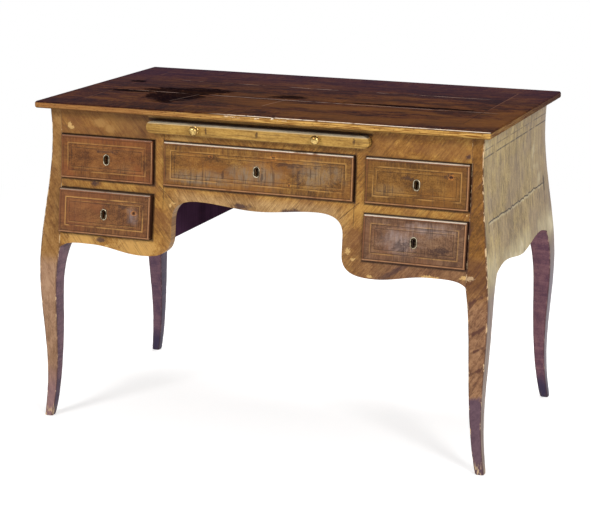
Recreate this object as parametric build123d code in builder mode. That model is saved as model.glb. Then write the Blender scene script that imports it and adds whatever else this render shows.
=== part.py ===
from build123d import *
import os

# A walnut kneehole writing desk on four square cabriole legs: two pedestals of two drawers, a middle
# drawer over the kneehole and a writing slide above it. Front, back and sides swell down to the knees.
# Millimetres, +Z up, front towards -Y, origin on the floor under the middle of the top.

# Driving dimensions: top and overall size
overall_height = 800.0
top_length = 1136.0
top_depth = 664.0
top_thickness = 17.0
top_corner_radius = 3.0
top_edge_radius = 6.0

# Swelling of the sides, measured outwards from the waist; overhangs are the top's past the case
side_overhang = 26.0
side_swell = 28.0
side_ankle_recess = 10.0
side_foot_flare = 11.0
front_overhang = 40.0
front_swell = 30.0
front_ankle_recess = 6.5
front_foot_flare = 2.0
rear_overhang = 52.0
rear_swell = 36.0
rear_ankle_recess = 2.0
rear_foot_flare = 8.0
waist_drop = 75.0
case_top_flare = 2.0

# Legs: corner posts in the case, tapering square legs below; the setback is from the top's edge
post_face_width = 27.0
post_setback = 96.0
knee_drop = 54.0
knee_width = 47.5
shin_width = 37.5
ankle_height = 140.0
ankle_width = 28.5
foot_width = 21.0
foot_edge_radius = 1.5

# Case boards
frame_thickness = 25.0
side_thickness = 20.0
back_thickness = 20.0
kneehole_side_thickness = 18.0
board_thickness = 8.0
guide_width = 10.0
guide_height = 15.0

# Front layout, from the case's top downwards and from the middle outwards
top_rail_height = 63.5
upper_opening_height = 108.0
middle_rail_height = 22.0
lower_opening_height = 109.0
middle_opening_width = 482.0
stile_width = 25.0
kneehole_width = 433.0
centre_apron_width = 390.0

# Lower edges: how far each point hangs below the lower drawers' opening or the middle one
apron_end_drop = 39.5
apron_arch_drop = 25.5
apron_lobe_drop = 41.5
centre_drop = 42.0
centre_arch_drop = 31.5
centre_arch_width = 300.0
kneehole_corner_drop = 81.0
kneehole_turn_drop = 121.5
lobe_offset = 29.0
arch_offset = 85.0
side_edge_end_drop = 20.5
side_edge_arch_drop = 8.0
side_edge_centre_drop = 25.5
side_edge_arch_offset = 66.0

# Writing slide
slide_width = 558.0
slide_height = 29.0
slide_strip_depth = 18.0
slide_drop = 15.5
slide_board_width = 520.0
slide_board_thickness = 18.0
slide_length = 480.0
slide_pull = 20.0
slide_bearing_width = 22.0
slide_guide_width = 16.0
lining_margin = 28.0
lining_thickness = 1.0
knob_spacing = 304.0
knob_radius = 10.5
knob_length = 18.0
knob_neck_radius = 4.5
knob_neck_length = 6.0
knob_base_radius = 7.0
knob_base_thickness = 2.0

# Drawers
drawer_proud = 9.0
drawer_edge_radius = 4.0
upper_front_thickness = 24.0
lower_front_thickness = 26.0
drawer_side_thickness = 10.0
drawer_back_thickness = 10.0
drawer_bottom_thickness = 7.0
drawer_bottom_rise = 5.0
drawer_side_drop = 8.0
drawer_back_drop = 14.0
drawer_back_gap = 14.0
ajar_pull = 6.0

# Keyholes, escutcheons and locks
keyhole_radius = 3.75
keyhole_slot_width = 5.0
keyhole_slot_length = 13.0
keyhole_rise = 3.0
escutcheon_width = 17.0
escutcheon_height = 27.0
escutcheon_thickness = 1.6
escutcheon_proud = 0.6
lock_width = 62.0
lock_height = 36.0
lock_thickness = 10.0
lock_corner_radius = 2.0

# Clearances
drawer_side_clearance = 1.5
drawer_top_clearance = 1.5
drawer_front_clearance = 1.0
running_clearance = 0.3
slide_clearance = 1.0
escutcheon_clearance = 0.1

# Places worked out from the sizes above
half_length = top_length / 2
half_depth = top_depth / 2
case_top = overall_height - top_thickness
waist = case_top - waist_drop
upper_top = case_top - top_rail_height
upper_bottom = upper_top - upper_opening_height
lower_top = upper_bottom - middle_rail_height
lower_bottom = lower_top - lower_opening_height
post_bottom = lower_bottom - apron_end_drop
side_edge_end = lower_bottom - side_edge_end_drop
knee = post_bottom - knee_drop
shin = (knee + ankle_height) / 2

side_waist = half_length - side_overhang
front_waist = half_depth - front_overhang
rear_waist = half_depth - rear_overhang
post_inner_x = side_waist - post_face_width
post_inner_y = half_depth - post_setback
middle_half = middle_opening_width / 2
stile_outer = middle_half + stile_width
kneehole_half = kneehole_width / 2
kneehole_face = middle_half
pedestal_inner = kneehole_face + kneehole_side_thickness


def swell_line(at_waist, swell, recess, flare, offset=0.0):
    """Outward distance and height from foot to case top of one swelling face, moved in by offset."""
    reach = [
        (at_waist + swell - recess + flare, 0),
        (at_waist + swell - recess, ankle_height),
        (at_waist + swell, knee),
        (at_waist, waist),
        (at_waist + case_top_flare, case_top),
    ]
    return [(distance - offset, height) for distance, height in reach]


def side_line(offset=0.0):
    return swell_line(side_waist, side_swell, side_ankle_recess, side_foot_flare, offset)


def front_line(offset=0.0):
    return swell_line(front_waist, front_swell, front_ankle_recess, front_foot_flare, offset)


def rear_line(offset=0.0):
    return swell_line(rear_waist, rear_swell, rear_ankle_recess, rear_foot_flare, offset)


def signed(points, sign):
    return [(sign * across, height) for across, height in points]


def between_lines(plane, first, second):
    """Region of an end view between two lines that both run from floor to case top."""
    with BuildSketch(plane) as region:
        with BuildLine():
            Spline(*first)
            Line(first[-1], second[-1])
            Spline(*second)
            Line(second[0], first[0])
        make_face()
    return region.sketch


def leg_profile(plane, outer, inner_face, sign, face_end):
    """One view of a leg: swelling outside, straight post above face_end, tapering leg below."""
    inner = [
        (outer[0][0] - foot_width, 0),
        (outer[1][0] - ankle_width, ankle_height),
        ((outer[1][0] + outer[2][0]) / 2 - shin_width, shin),
        (outer[2][0] - knee_width, knee),
        (inner_face, face_end),
    ]
    with BuildSketch(plane) as view:
        with BuildLine():
            Spline(*signed(outer, sign))
            Polyline(*signed([outer[-1], (inner_face, case_top), (inner_face, face_end)], sign))
            Spline(*signed(inner, sign))
            Line(*signed([inner[0], outer[0]], sign))
        make_face()
    return view.sketch


def below_front_edge():
    """Region under the shaped lower edge of the front and back, from leg to leg."""
    centre_arch = centre_arch_width / 2
    lobe_x = stile_outer + lobe_offset
    arch_x = post_inner_x - arch_offset
    with BuildSketch(Plane.XZ) as region:
        with BuildLine():
            for sign in (-1, 1):
                middle = (0, upper_bottom - centre_drop)
                arch = (sign * centre_arch, upper_bottom - centre_arch_drop)
                corner = (sign * kneehole_half, upper_bottom - kneehole_corner_drop)
                turn = (sign * kneehole_half, upper_bottom - kneehole_turn_drop)
                lobe = (sign * lobe_x, lower_bottom - apron_lobe_drop)
                side_arch = (sign * arch_x, lower_bottom - apron_arch_drop)
                end = (sign * post_inner_x, post_bottom)
                outwards = (sign, 0)
                Spline(middle, arch, tangents=[outwards, outwards])
                Spline(arch, corner, tangents=[outwards, (0, -1)])
                Line(corner, turn)
                Spline(turn, lobe, tangents=[(0, -1), outwards])
                Spline(lobe, side_arch, tangents=[outwards, outwards])
                Spline(side_arch, end, tangents=[outwards, (sign, -1)])
                Line(end, (end[0], 0))
            Line((-post_inner_x, 0), (post_inner_x, 0))
        make_face()
    return region.sketch


def save(piece, name):
    piece.part.label = name
    export_step(piece.part, f"parts/{name}.step")


os.makedirs("parts", exist_ok=True)

front_section = between_lines(Plane.YZ, signed(front_line(), -1), signed(front_line(frame_thickness), -1))
rear_section = between_lines(Plane.YZ, rear_line(), rear_line(back_thickness))
interior_section = between_lines(
    Plane.YZ, signed(front_line(frame_thickness), -1), rear_line(back_thickness)
)
lower_edge = below_front_edge()

# Top board
with BuildPart() as top_board:
    with BuildSketch(Plane.XY.offset(case_top)):
        RectangleRounded(top_length, top_depth, top_corner_radius)
    extrude(amount=top_thickness)
    fillet(top_board.faces().sort_by(Axis.Z)[-1].edges(), radius=top_edge_radius)
    fillet(top_board.faces().sort_by(Axis.Z)[0].edges(), radius=top_edge_radius)
save(top_board, "top_board")

# Legs with their corner posts
for end_name, end, end_line in (("front", -1, front_line()), ("rear", 1, rear_line())):
    for side_name, side in (("left", -1), ("right", 1)):
        elevation = leg_profile(Plane.XZ, side_line(), post_inner_x, side, post_bottom)
        end_view = leg_profile(Plane.YZ, end_line, post_inner_y, end, side_edge_end)
        with BuildPart() as leg:
            extrude(elevation, amount=top_depth, both=True)
            extrude(end_view, amount=top_length, both=True, mode=Mode.INTERSECT)
            fillet(leg.faces().sort_by(Axis.Z)[0].edges(), radius=foot_edge_radius)
        save(leg, f"leg_{end_name}_{side_name}")

# Side panels between the posts, with a shaped lower edge
side_arch_y = post_inner_y - side_edge_arch_offset
side_edge_arch = lower_bottom - side_edge_arch_drop
for side_name, side in (("left", -1), ("right", 1)):
    side_section = between_lines(
        Plane.XZ, signed(side_line(), side), signed(side_line(side_thickness), side)
    )
    with BuildPart() as side_panel:
        with BuildSketch(Plane.YZ):
            with BuildLine():
                Spline(
                    (-post_inner_y, side_edge_end),
                    (-side_arch_y, side_edge_arch),
                    (0, lower_bottom - side_edge_centre_drop),
                    (side_arch_y, side_edge_arch),
                    (post_inner_y, side_edge_end),
                )
                Polyline(
                    (post_inner_y, side_edge_end),
                    (post_inner_y, case_top),
                    (-post_inner_y, case_top),
                    (-post_inner_y, side_edge_end),
                )
            make_face()
        extrude(amount=top_length, both=True)
        extrude(side_section, amount=top_depth, both=True, mode=Mode.INTERSECT)
    save(side_panel, f"side_panel_{side_name}")

# Back panel between the rear posts, shaped below like the front
with BuildPart() as back_panel:
    with BuildSketch(Plane.XZ):
        with Locations((0, case_top / 2)):
            Rectangle(2 * post_inner_x, case_top)
    extrude(amount=top_depth, both=True)
    extrude(rear_section, amount=top_length, both=True, mode=Mode.INTERSECT)
    extrude(lower_edge, amount=top_depth, both=True, mode=Mode.SUBTRACT)
save(back_panel, "back_panel")

# Front frame: each piece is a window of the front cut from the swelling slab
slide_top = case_top - slide_drop
slide_centre = slide_top - slide_height / 2
with BuildPart() as top_rail:
    with BuildSketch(Plane.XZ):
        with Locations((0, (case_top + upper_top) / 2)):
            Rectangle(2 * post_inner_x, top_rail_height)
        with Locations((0, slide_centre)):
            SlotOverall(
                slide_width + 2 * slide_clearance, slide_height + 2 * slide_clearance, mode=Mode.SUBTRACT
            )
    extrude(amount=top_depth, both=True)
    extrude(front_section, amount=top_length, both=True, mode=Mode.INTERSECT)
save(top_rail, "top_rail")

with BuildPart() as centre_apron:
    with BuildSketch(Plane.XZ):
        with Locations((0, upper_bottom / 2)):
            Rectangle(centre_apron_width, upper_bottom)
    extrude(amount=top_depth, both=True)
    extrude(front_section, amount=top_length, both=True, mode=Mode.INTERSECT)
    extrude(lower_edge, amount=top_depth, both=True, mode=Mode.SUBTRACT)
save(centre_apron, "centre_apron")

pedestal_width = post_inner_x - stile_outer
pedestal_centre = (post_inner_x + stile_outer) / 2
for side_name, side in (("left", -1), ("right", 1)):
    stile_inner = centre_apron_width / 2
    with BuildPart() as stile:
        with BuildSketch(Plane.XZ):
            with Locations((side * (middle_half + stile_outer) / 2, upper_top / 2)):
                Rectangle(stile_width, upper_top)
            with Locations((side * (stile_inner + stile_outer) / 2, upper_bottom / 2)):
                Rectangle(stile_outer - stile_inner, upper_bottom)
        extrude(amount=top_depth, both=True)
        extrude(front_section, amount=top_length, both=True, mode=Mode.INTERSECT)
        extrude(lower_edge, amount=top_depth, both=True, mode=Mode.SUBTRACT)
    save(stile, f"stile_{side_name}")

    with BuildPart() as middle_rail:
        with BuildSketch(Plane.XZ):
            with Locations((side * pedestal_centre, (upper_bottom + lower_top) / 2)):
                Rectangle(pedestal_width, middle_rail_height)
        extrude(amount=top_depth, both=True)
        extrude(front_section, amount=top_length, both=True, mode=Mode.INTERSECT)
    save(middle_rail, f"middle_rail_{side_name}")

    with BuildPart() as side_apron:
        with BuildSketch(Plane.XZ):
            with Locations((side * pedestal_centre, lower_bottom / 2)):
                Rectangle(pedestal_width, lower_bottom)
        extrude(amount=top_depth, both=True)
        extrude(front_section, amount=top_length, both=True, mode=Mode.INTERSECT)
        extrude(lower_edge, amount=top_depth, both=True, mode=Mode.SUBTRACT)
    save(side_apron, f"apron_{side_name}")

# Kneehole sides and the boards that the drawers and the slide run on
kneehole_side_bottom = lower_bottom - board_thickness
kneehole_side_height = upper_top - kneehole_side_bottom
kneehole_side_middle = (upper_top + kneehole_side_bottom) / 2
guide_run = 2 * post_inner_y
for side_name, side in (("left", -1), ("right", 1)):
    with BuildPart() as kneehole_side:
        with BuildSketch(Plane.XZ):
            with Locations((side * (kneehole_face + pedestal_inner) / 2, kneehole_side_middle)):
                Rectangle(kneehole_side_thickness, kneehole_side_height)
        extrude(amount=top_depth, both=True)
        extrude(interior_section, amount=top_length, both=True, mode=Mode.INTERSECT)
    save(kneehole_side, f"kneehole_side_{side_name}")

    for board_name, board_top in (("dustboard", upper_bottom), ("pedestal_bottom", lower_bottom)):
        with BuildPart() as board:
            with BuildSketch(Plane.XY.offset(board_top - board_thickness)):
                with Locations((side * (pedestal_inner + post_inner_x) / 2, 0)):
                    Rectangle(post_inner_x - pedestal_inner, top_depth)
                with Locations((side * (post_inner_x + guide_width / 2), 0)):
                    Rectangle(guide_width, guide_run)
            extrude(amount=board_thickness)
            extrude(interior_section, amount=top_length, both=True, mode=Mode.INTERSECT)
        save(board, f"{board_name}_{side_name}")

with BuildPart() as centre_board:
    with BuildSketch(Plane.XY.offset(upper_bottom - board_thickness)):
        Rectangle(2 * kneehole_face, top_depth)
    extrude(amount=board_thickness)
    extrude(interior_section, amount=top_length, both=True, mode=Mode.INTERSECT)
save(centre_board, "centre_board")

with BuildPart() as slide_bed:
    with BuildSketch(Plane.XY.offset(upper_top)):
        Rectangle(2 * post_inner_x, top_depth)
    extrude(amount=board_thickness)
    extrude(interior_section, amount=top_length, both=True, mode=Mode.INTERSECT)
save(slide_bed, "slide_bed")

# Guide strips that keep the pedestal drawers straight
with BuildPart() as drawer_guides:
    for level in (upper_bottom, lower_bottom):
        with BuildSketch(Plane.XY.offset(level)):
            for side in (-1, 1):
                with Locations((side * (post_inner_x + guide_width / 2), 0)):
                    Rectangle(guide_width, guide_run)
                with Locations((side * (pedestal_inner + stile_outer) / 2, 0)):
                    Rectangle(stile_outer - pedestal_inner, guide_run)
        extrude(amount=guide_height)
save(drawer_guides, "drawer_guides")

# Stepped bearers beside the writing slide
bed_top = upper_top + board_thickness
slide_board_half = slide_board_width / 2
slide_board_bottom = slide_top - slide_board_thickness
bearer_top = slide_board_bottom - running_clearance
wall_inner = slide_board_half + slide_clearance
with BuildPart() as slide_bearers:
    with BuildSketch(Plane.XZ):
        for side in (-1, 1):
            with Locations((side * (wall_inner - slide_bearing_width / 2), (bed_top + bearer_top) / 2)):
                Rectangle(slide_bearing_width, bearer_top - bed_top)
            with Locations((side * (wall_inner + slide_guide_width / 2), (bed_top + case_top) / 2)):
                Rectangle(slide_guide_width, case_top - bed_top)
    extrude(amount=top_depth, both=True)
    extrude(interior_section, amount=top_length, both=True, mode=Mode.INTERSECT)
save(slide_bearers, "slide_bearers")

# Writing slide, drawn out a little
strip_front = -front_waist - slide_pull
strip_back = strip_front + slide_strip_depth
with BuildPart() as slide_strip:
    with BuildSketch(Plane.XZ.offset(-strip_back)):
        with Locations((0, slide_centre)):
            SlotOverall(slide_width, slide_height)
    extrude(amount=slide_strip_depth)
save(slide_strip, "slide_strip")

board_middle = strip_back + slide_length / 2
lining_width = slide_board_width - 2 * lining_margin
lining_length = slide_length - 2 * lining_margin
with BuildPart() as slide_board:
    with BuildSketch(Plane.XY.offset(slide_board_bottom)):
        with Locations((0, board_middle)):
            Rectangle(slide_board_width, slide_length)
    extrude(amount=slide_board_thickness)
    with BuildSketch(Plane.XY.offset(slide_top - lining_thickness)):
        with Locations((0, board_middle)):
            Rectangle(lining_width, lining_length)
    extrude(amount=lining_thickness, mode=Mode.SUBTRACT)
save(slide_board, "slide_board")

with BuildPart() as slide_lining:
    with BuildSketch(Plane.XY.offset(slide_top - lining_thickness)):
        with Locations((0, board_middle)):
            Rectangle(lining_width, lining_length)
    extrude(amount=lining_thickness)
save(slide_lining, "slide_lining")

knob_ball_start = knob_base_thickness + knob_neck_length
with BuildPart() as slide_knobs:
    for side in (-1, 1):
        knob_seat = (side * knob_spacing / 2, strip_front, slide_centre)
        with BuildSketch(Plane(origin=knob_seat, x_dir=(1, 0, 0), z_dir=(0, 0, -1))):
            with BuildLine():
                Polyline(
                    (0, knob_length),
                    (0, 0),
                    (knob_base_radius, 0),
                    (knob_base_radius, knob_base_thickness),
                    (knob_neck_radius, knob_base_thickness),
                    (knob_neck_radius, knob_ball_start),
                )
                Spline(
                    (knob_neck_radius, knob_ball_start),
                    (knob_radius, (knob_ball_start + knob_length) / 2),
                    (0, knob_length),
                    tangents=[(1, 0), (-1, 0)],
                )
            make_face()
        revolve(axis=Axis(knob_seat, (0, -1, 0)))
save(slide_knobs, "slide_knobs")

# Drawers: name, opening left and right, opening bottom and top, front thickness, how far drawn out
drawer_openings = [
    ("middle", -middle_half, middle_half, upper_bottom, upper_top, upper_front_thickness, 0.0),
    ("left_upper", -post_inner_x, -stile_outer, upper_bottom, upper_top, upper_front_thickness, 0.0),
    ("left_lower", -post_inner_x, -stile_outer, lower_bottom, lower_top, lower_front_thickness, ajar_pull),
    ("right_upper", stile_outer, post_inner_x, upper_bottom, upper_top, upper_front_thickness, 0.0),
    ("right_lower", stile_outer, post_inner_x, lower_bottom, lower_top, lower_front_thickness, 0.0),
]
for name, left, right, bottom, top, front_thickness, pull in drawer_openings:
    low_x = left + drawer_side_clearance
    high_x = right - drawer_side_clearance
    width = high_x - low_x
    centre_x = (low_x + high_x) / 2
    front_low = bottom + drawer_front_clearance
    front_high = top - drawer_top_clearance
    front_middle = (front_low + front_high) / 2
    key_height = front_middle + keyhole_rise
    plate_middle = key_height + (keyhole_radius - keyhole_slot_length) / 2

    # The flat inside of the front stands front_thickness behind the face at the opening's top
    height_share = (waist - top) / (waist - knee) if top < waist else 0.0
    ease = height_share * height_share * (3 - 2 * height_share)
    face_reach = front_waist + front_swell * ease
    inner_y = -(face_reach + drawer_proud - front_thickness) - pull
    outer = [(y - pull, z) for y, z in signed(front_line(-drawer_proud), -1)]
    flat = [(inner_y, z) for _, z in outer]

    with BuildPart() as keyhole:
        with BuildSketch(Plane.XZ):
            with Locations((centre_x, key_height)):
                Circle(keyhole_radius)
            with Locations((centre_x, key_height - keyhole_slot_length / 2)):
                Rectangle(keyhole_slot_width, keyhole_slot_length)
        extrude(amount=top_depth)

    plate_inner = front_line(-drawer_proud + escutcheon_thickness - escutcheon_proud)
    plate_outer = front_line(-drawer_proud - escutcheon_proud)
    seat_inner = front_line(-drawer_proud + escutcheon_thickness - escutcheon_proud + escutcheon_clearance)
    shifted = [
        [(y - pull, z) for y, z in signed(line, -1)] for line in (plate_inner, plate_outer, seat_inner)
    ]
    plate_section = between_lines(Plane.YZ, shifted[0], shifted[1])
    seat_section = between_lines(Plane.YZ, shifted[2], shifted[1])

    with BuildPart() as escutcheon_seat:
        with BuildSketch(Plane.XZ):
            with Locations((centre_x, plate_middle)):
                SlotOverall(
                    escutcheon_height + 2 * escutcheon_clearance,
                    escutcheon_width + 2 * escutcheon_clearance,
                    rotation=90,
                )
        extrude(amount=top_depth)
        extrude(seat_section, amount=top_length, both=True, mode=Mode.INTERSECT)

    with BuildPart() as drawer_front:
        with BuildSketch(Plane.XZ):
            with Locations((centre_x, front_middle)):
                Rectangle(width, front_high - front_low)
        extrude(amount=top_depth)
        extrude(
            between_lines(Plane.YZ, outer, flat), amount=top_length, both=True, mode=Mode.INTERSECT
        )
        fillet(drawer_front.faces().sort_by(Axis.Y)[0].edges(), radius=drawer_edge_radius)
        add(keyhole.part, mode=Mode.SUBTRACT)
        add(escutcheon_seat.part, mode=Mode.SUBTRACT)
    save(drawer_front, f"drawer_{name}_front")

    with BuildPart() as escutcheon:
        with BuildSketch(Plane.XZ):
            with Locations((centre_x, plate_middle)):
                SlotOverall(escutcheon_height, escutcheon_width, rotation=90)
        extrude(amount=top_depth)
        extrude(plate_section, amount=top_length, both=True, mode=Mode.INTERSECT)
        add(keyhole.part, mode=Mode.SUBTRACT)
    save(escutcheon, f"drawer_{name}_escutcheon")

    box_bottom = bottom + running_clearance
    box_end = rear_waist - back_thickness - drawer_back_gap - pull
    box_length = box_end - inner_y
    side_height = front_high - drawer_side_drop - box_bottom
    with BuildPart() as drawer_sides:
        with BuildSketch(Plane.XY.offset(box_bottom)):
            for side_x in (low_x + drawer_side_thickness / 2, high_x - drawer_side_thickness / 2):
                with Locations((side_x, (inner_y + box_end) / 2)):
                    Rectangle(drawer_side_thickness, box_length)
        extrude(amount=side_height)
    save(drawer_sides, f"drawer_{name}_sides")

    inner_width = width - 2 * drawer_side_thickness
    with BuildPart() as drawer_back:
        with BuildSketch(Plane.XY.offset(box_bottom)):
            with Locations((centre_x, box_end - drawer_back_thickness / 2)):
                Rectangle(inner_width, drawer_back_thickness)
        extrude(amount=front_high - drawer_back_drop - box_bottom)
    save(drawer_back, f"drawer_{name}_back")

    bottom_length = box_length - drawer_back_thickness
    with BuildPart() as drawer_bottom:
        with BuildSketch(Plane.XY.offset(box_bottom + drawer_bottom_rise)):
            with Locations((centre_x, inner_y + bottom_length / 2)):
                Rectangle(inner_width, bottom_length)
        extrude(amount=drawer_bottom_thickness)
    save(drawer_bottom, f"drawer_{name}_bottom")

    with BuildPart() as lock:
        with BuildSketch(Plane.XZ.offset(-inner_y)):
            with Locations((centre_x, key_height)):
                RectangleRounded(lock_width, lock_height, lock_corner_radius)
        extrude(amount=-lock_thickness)
        add(keyhole.part, mode=Mode.SUBTRACT)
    save(lock, f"drawer_{name}_lock")
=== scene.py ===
import math
from functools import reduce
import bmesh
import bpy
import numpy as np
from mathutils import Matrix, Vector


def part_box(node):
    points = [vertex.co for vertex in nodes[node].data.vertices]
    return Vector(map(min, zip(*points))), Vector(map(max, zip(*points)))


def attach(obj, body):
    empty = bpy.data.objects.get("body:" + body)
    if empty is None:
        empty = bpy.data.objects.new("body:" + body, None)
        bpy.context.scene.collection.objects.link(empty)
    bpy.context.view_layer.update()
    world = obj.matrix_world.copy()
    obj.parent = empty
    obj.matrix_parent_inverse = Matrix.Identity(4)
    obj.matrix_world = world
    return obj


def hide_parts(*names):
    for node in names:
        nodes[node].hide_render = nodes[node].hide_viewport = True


# A veneered walnut kneehole desk: worn dark top, golden front with feather grain, cross-banded
# drawers, faded sides, dark inner leg faces, a writing slide with two brass knobs.
# Metres, +Z up, front towards -Y, as in the frame. Colours in the looks are display values,
# 0 to 255.

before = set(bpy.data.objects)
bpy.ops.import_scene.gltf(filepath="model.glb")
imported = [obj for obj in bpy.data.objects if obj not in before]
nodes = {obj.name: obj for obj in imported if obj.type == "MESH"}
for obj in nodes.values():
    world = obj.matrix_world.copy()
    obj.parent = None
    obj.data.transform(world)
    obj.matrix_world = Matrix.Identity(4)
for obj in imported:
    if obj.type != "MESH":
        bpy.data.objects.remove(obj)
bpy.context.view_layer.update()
drawers = ["middle", "left_upper", "left_lower", "right_upper", "right_lower"]
sides = ("left", "right")
smoothAngle = math.radians(40)
print("frame loaded:", len(nodes), "nodes")


def tint(colour):
    # a display colour as the linear one that shaders take; a wire stays as it is
    if isinstance(colour, Wire):
        return colour
    share = np.array(colour) / 255
    linear = np.where(share <= 0.04045, share / 12.92, ((share + 0.055) / 1.055) ** 2.4)
    return (*linear.tolist(), 1.0)


def operator(operation, reflected=False):
    # a method that puts a Math node on its two values
    def method(self, other):
        values = (other, self) if reflected else (self, other)
        return self.maths(operation, *values)

    return method


class Wire:
    # one socket of a material; sums, products and powers on it add Math nodes
    def __init__(self, finish, socket):
        self.finish = finish
        self.socket = socket

    def maths(self, operation, *values):
        return self.finish.node("ShaderNodeMath", {"operation": operation}, dict(enumerate(values)))

    def __abs__(self):
        return self.maths("ABSOLUTE", self)

    __add__, __radd__ = operator("ADD"), operator("ADD", True)
    __sub__, __rsub__ = operator("SUBTRACT"), operator("SUBTRACT", True)
    __mul__, __rmul__ = operator("MULTIPLY"), operator("MULTIPLY", True)
    __truediv__ = operator("DIVIDE")
    __pow__ = operator("POWER")
    least = operator("MINIMUM")
    most = operator("MAXIMUM")

    def ease(self, low, high):
        # 0 at low, 1 at high, smooth between; low may be the larger
        settings = {"interpolation_type": "SMOOTHSTEP"}
        return self.finish.node("ShaderNodeMapRange", settings, {0: self, 1: low, 2: high})

    def between(self, low, fullFrom, fullTo, high):
        # 0 up to low, 1 from fullFrom to fullTo, 0 again from high
        return self.ease(low, fullFrom) * self.ease(high, fullTo)

    def near(self, place, width):
        # 1 within width of place, fading to 0 at twice that
        return abs(self - place).ease(2 * width, width)


class Finish:
    # a material or world being made; node() is the one way that a node is added to it
    def __init__(self, name, kind="materials"):
        self.owner = getattr(bpy.data, kind).new(name)
        self.owner.use_nodes = True
        self.tree = self.owner.node_tree
        self.tree.nodes.clear()

    def node(self, kind, settings=None, sockets=None, output=0):
        made = self.tree.nodes.new(kind)
        for name, value in (settings or {}).items():
            if name == "stops":
                elements = made.color_ramp.elements
                while len(elements) < len(value):
                    elements.new(0.5)
                for element, (place, colour) in zip(elements, value):
                    element.position = place
                    element.color = colour
            else:
                setattr(made, name, value)
        for key, value in (sockets or {}).items():
            if isinstance(value, Wire):
                self.tree.links.new(value.socket, made.inputs[key])
            else:
                made.inputs[key].default_value = value
        return Wire(self, made.outputs[output]) if len(made.outputs) else None

    def split(self, vector):
        first = self.node("ShaderNodeSeparateXYZ", None, {0: vector})
        return [Wire(self, socket) for socket in first.socket.node.outputs]

    def position(self):
        return self.split(self.node("ShaderNodeTexCoord", output="Object"))

    def attribute(self, name):
        found = self.node("ShaderNodeAttribute", {"attribute_name": name}, output="Vector")
        return self.split(found)

    def seenRays(self):
        # 1 for what the camera sees, straight or by a mirror or glass
        rays = ("Is Camera Ray", "Is Glossy Ray", "Is Transmission Ray")
        return reduce(Wire.most, [self.node("ShaderNodeLightPath", output=ray) for ray in rays])

    def noise(self, x, y, z, detail=3.0, rough=0.5):
        vector = self.node("ShaderNodeCombineXYZ", None, {0: x, 1: y, 2: z})
        sockets = {"Vector": vector, "Scale": 1.0, "Detail": detail, "Roughness": rough}
        return self.node("ShaderNodeTexNoise", None, sockets)

    def ramp(self, value, tones, middle=0.5):
        # a dark, a middle and a light tone by value
        stops = [(place, tint(tone)) for place, tone in zip((0.0, middle, 1.0), tones)]
        return self.node("ShaderNodeValToRGB", {"stops": stops}, {0: value})

    def mix(self, factor, first, second):
        sockets = {0: factor, 6: tint(first), 7: tint(second)}
        return self.node("ShaderNodeMix", {"data_type": "RGBA"}, sockets, output=2)

    def lay(self, colour, look, layers):
        # tones over a colour, one after another, each where its mask is 1; a name is looked up
        for mask, tone in layers:
            colour = self.mix(mask, colour, look[tone] if isinstance(tone, str) else tone)
        return colour

    def choose(self, factor, first, second):
        return self.node("ShaderNodeMix", None, {0: factor, 2: first, 3: second})

    def blots(self, u, v, places, rag, soft):
        # 1 inside ellipses, given by their middles and half sizes, with edges made ragged by rag
        spots = []
        for middleU, middleV, halfU, halfV in places:
            across, up = (u - middleU) / halfU, (v - middleV) / halfV
            reach = (across * across + up * up) ** 0.5
            spots.append((reach + rag).ease(1.0, 1.0 - soft))
        return reduce(Wire.most, spots)

    def surface(self, colour, rough, height, depth=0.0004, metallic=0.0, coat=0.0, specular=0.15):
        bump = {"Height": height, "Strength": 1.0, "Distance": depth}
        sockets = {
            "Base Color": colour,
            "Roughness": rough,
            "Metallic": metallic,
            "Coat Weight": coat,
            "Coat Roughness": 0.18,
            "Specular IOR Level": specular,
            "Normal": self.node("ShaderNodeBump", None, bump),
        }
        shader = self.node("ShaderNodeBsdfPrincipled", None, sockets)
        self.node("ShaderNodeOutputMaterial", None, {"Surface": shader})
        return self.owner


def turned(u, v, degrees):
    # coordinates along and across a grain that rises at this angle from u
    angle = math.radians(degrees)
    return u * math.cos(angle) + v * math.sin(angle), v * math.cos(angle) - u * math.sin(angle)


def woodTone(f, along, across, depth, lines, cloud, spread=0.11):
    # wandering grain: slow drift, mottled cloud, fine lines and pores added up; middle 0.5
    across = across + f.noise(along * 4, across * 5, depth + 9, 1.0) * 0.03
    drift = f.noise(along * 5, across * 9, depth, 2.0)
    mottle = f.noise(along * cloud, across * cloud * 1.6, depth + 3, 4.0, 0.65)
    line = f.noise(along * 14, across * lines, depth + 6, 3.0, 0.7)
    pore = f.noise(along * 160, across * 400, depth + 12, 2.0, 0.6)
    total = drift * 0.27 + mottle * 0.29 + line * 0.24 + pore * 0.2
    return total.ease(0.5 - spread, 0.5 + spread)


def hairLines(f, along, across, depth, pitch, width=0.018):
    # thin dark lines that wander along the grain: where a stretched noise passes its middle value
    wave = f.noise(along * 4, across * pitch, depth, 2.0, 0.45)
    broken = f.noise(along * 16, across * 50, depth + 2, 1.0)
    return wave.near(0.5, width) * broken.ease(0.4, 0.56)


def fibres(f, along, across, depth):
    # fine pores and fibres, for roughness and bump
    return f.noise(along * 45, across * 900, depth, 3.0, 0.6)


def crossBanding(u, v, halfU, halfV, inset, blur):
    # how far a place on a panel is from its ends, its long edges and the nearest of both; where
    # the bands along the long edges lie, up to the mitres; where any band lies
    fromSides, fromEnds = halfU - abs(u), halfV - abs(v)
    border = fromSides.least(fromEnds)
    onSides = (fromEnds - fromSides).ease(-blur - 0.0001, blur + 0.0001)
    return fromSides, fromEnds, border, onSides, border.ease(inset + blur, inset - blur)


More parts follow.
